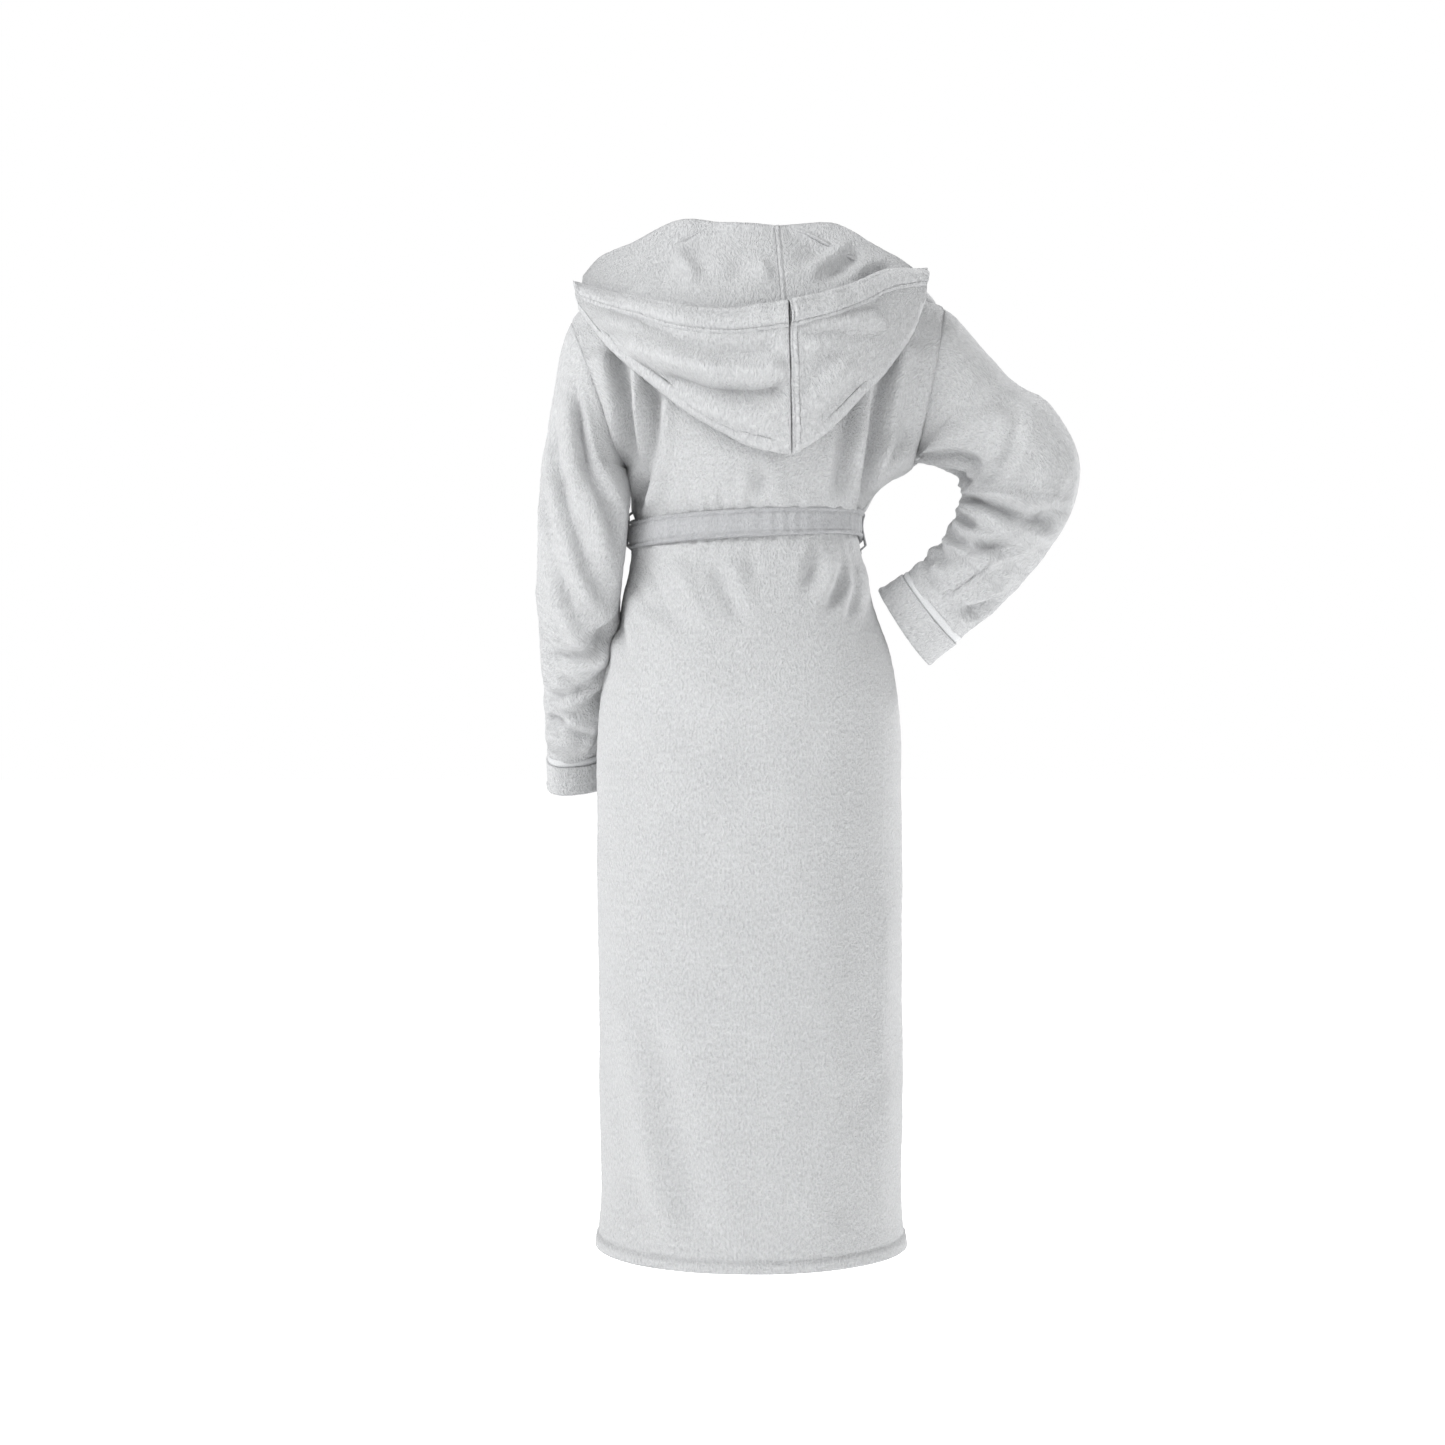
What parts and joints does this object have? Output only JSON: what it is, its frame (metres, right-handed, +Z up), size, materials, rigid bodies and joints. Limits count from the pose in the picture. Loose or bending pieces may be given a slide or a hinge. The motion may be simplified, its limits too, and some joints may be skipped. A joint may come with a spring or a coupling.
{
  "type": "bathrobe",
  "caption": "Long hooded plush bathrobe with wrapped front, shawl collar, turned cuffs, patch pockets and a tied belt, shaped as worn.",
  "frame": {"origin": "middle of the neck opening, level with the top of the back neck, where the wearer's shoulders and neck carry the robe", "axes": "+Z up, +Y towards the robe's back, +X towards the wearer's left"},
  "size_m": [0.6615, 0.3379, 1.2534],
  "materials": {
    "plush_fleece": "matt deep pile",
    "satin_binding": "satin",
    "label_cloth": "matt woven"
  },
  "bodies": {
    "robe": {"back_panel": "plush_fleece", "left_front_panel": "plush_fleece", "right_front_panel": "plush_fleece", "left_collar": "plush_fleece", "right_collar": "plush_fleece", "left_pocket": "plush_fleece", "right_pocket": "plush_fleece", "left_pocket_piping": "satin_binding", "right_pocket_piping": "satin_binding", "belt_band": "plush_fleece", "belt_knot": "plush_fleece", "left_belt_loop": "plush_fleece", "right_belt_loop": "plush_fleece", "neck_tape": "satin_binding", "care_label": "label_cloth"},
    "hood": {"hood_left_half": "plush_fleece", "hood_right_half": "plush_fleece", "hood_left_band": "plush_fleece", "hood_right_band": "plush_fleece"},
    "left_arm": {"left_sleeve": "plush_fleece", "left_cuff": "plush_fleece", "left_cuff_piping": "satin_binding"},
    "right_arm": {"right_sleeve": "plush_fleece", "right_cuff": "plush_fleece", "right_cuff_piping": "satin_binding"},
    "left_tail": {"belt_left_tail": "plush_fleece"},
    "right_tail": {"belt_right_tail": "plush_fleece"},
    "hanger": {"hang_loop": "satin_binding"}
  },
  "joints": [
    {"name": "hood_raise", "type": "hinge", "parent": "robe", "child": "hood", "pos_m": [0, 0.062, 0.012], "axis": [1, 0, 0], "range_deg": [0, 150]},
    {"name": "left_arm_lift", "type": "hinge", "parent": "robe", "child": "left_arm", "pos_m": [0.226, 0, -0.1], "axis": [0, -1, 0], "range_deg": [0, 60]},
    {"name": "right_arm_lift", "type": "hinge", "parent": "robe", "child": "right_arm", "pos_m": [-0.24, 0, -0.088], "axis": [0, 1, 0], "range_deg": [0, 40]},
    {"name": "left_tail_swing", "type": "hinge", "parent": "robe", "child": "left_tail", "pos_m": [0.0495, -0.124, -0.389], "axis": [-1, 0, 0], "range_deg": [0, 80]},
    {"name": "right_tail_swing", "type": "hinge", "parent": "robe", "child": "right_tail", "pos_m": [0.0105, -0.124, -0.389], "axis": [-1, 0, 0], "range_deg": [0, 80]},
    {"name": "hang_loop_turn", "type": "hinge", "parent": "robe", "child": "hanger", "pos_m": [0, 0.057, -0.0135], "axis": [-1, 0, 0], "range_deg": [0, 150]}
  ]
}
